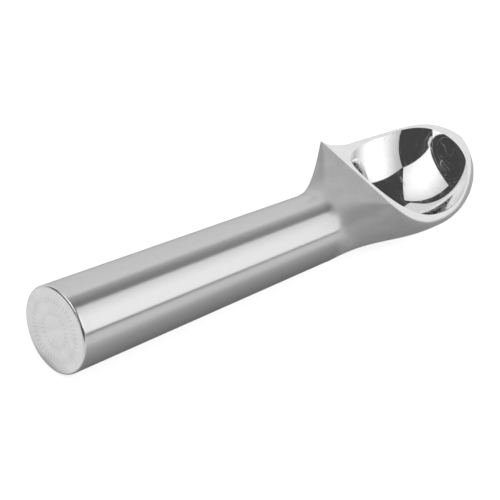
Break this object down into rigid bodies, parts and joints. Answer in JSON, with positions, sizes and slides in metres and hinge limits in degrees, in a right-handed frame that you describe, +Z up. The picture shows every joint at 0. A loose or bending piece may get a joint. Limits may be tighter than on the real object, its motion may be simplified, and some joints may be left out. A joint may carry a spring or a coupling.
{
  "type": "ice cream dipper",
  "caption": "Rigid cast metal ice cream dipper with a tapered hollow handle that holds a heat-carrying liquid, a pressed end cap and an upright polished ball-shaped bowl.",
  "frame": {"origin": "middle of the end cap's outer face, on the handle's axis", "axes": "+X runs along the handle's axis from the cap to the bowl, +Z is up with the bowl's mouth upward, and the XZ plane is the plane of symmetry"},
  "size_m": [0.1766, 0.0456, 0.0352],
  "materials": {
    "body_metal": "satin turned handle, fine matt bowl outside, mirror-polished hollow and rim",
    "cap_metal": "fine matt face with a polished round edge",
    "seal_rubber": "matt black",
    "heat_liquid": "clear liquid sealed in the handle"
  },
  "bodies": {
    "root": {"scoop_body": "body_metal", "end_cap": "cap_metal", "cap_seal": "seal_rubber", "heat_fluid": "heat_liquid"}
  },
  "joints": []
}
